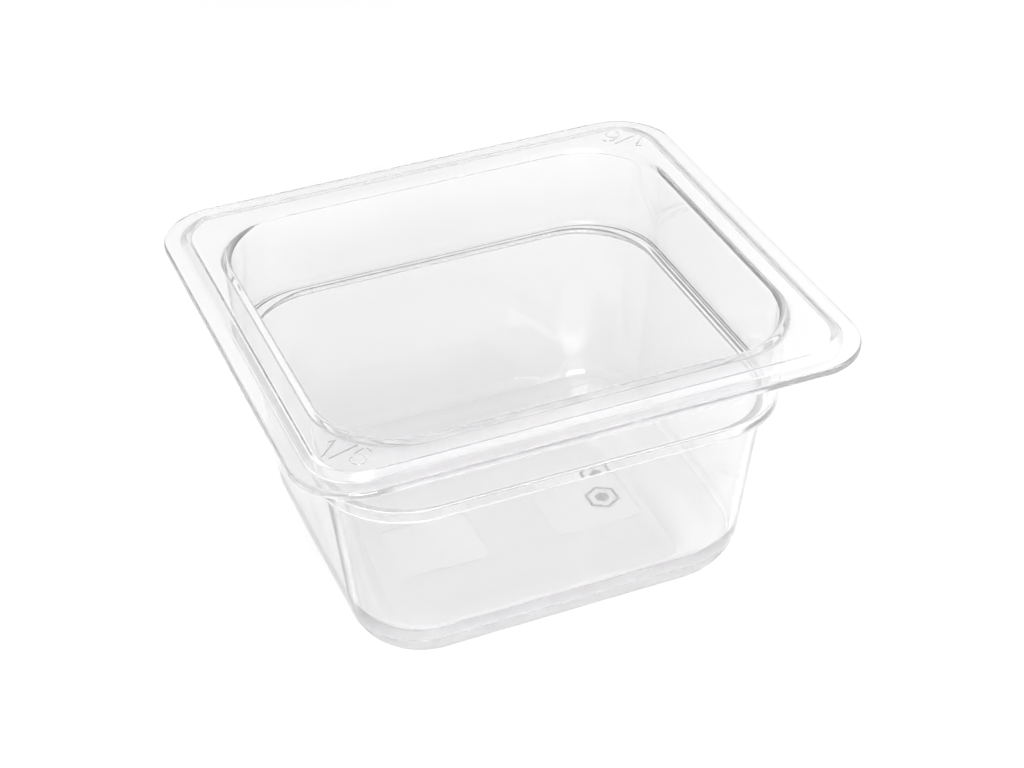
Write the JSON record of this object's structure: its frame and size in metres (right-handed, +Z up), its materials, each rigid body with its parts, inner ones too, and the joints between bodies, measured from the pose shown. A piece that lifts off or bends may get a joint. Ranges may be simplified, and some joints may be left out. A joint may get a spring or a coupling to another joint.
{
  "type": "food pan",
  "caption": "Clear one-piece deli food pan with a stepped rim that hangs in a counter cut-out, a stacking shoulder and tapered walls with a rounded floor.",
  "frame": {"origin": "middle of the underside, where the pan rests on a counter", "axes": "+Z up out of the mouth, +X along the 176 mm side of the rim, +Y along the 162 mm side"},
  "size_m": [0.176, 0.162, 0.1002],
  "materials": {
    "clear_polycarbonate": "clear colourless injection-moulded polycarbonate, polished, with faint handling scuffs and two fine-textured panels under the floor"
  },
  "bodies": {
    "root": {"food_pan": "clear_polycarbonate"}
  },
  "joints": []
}
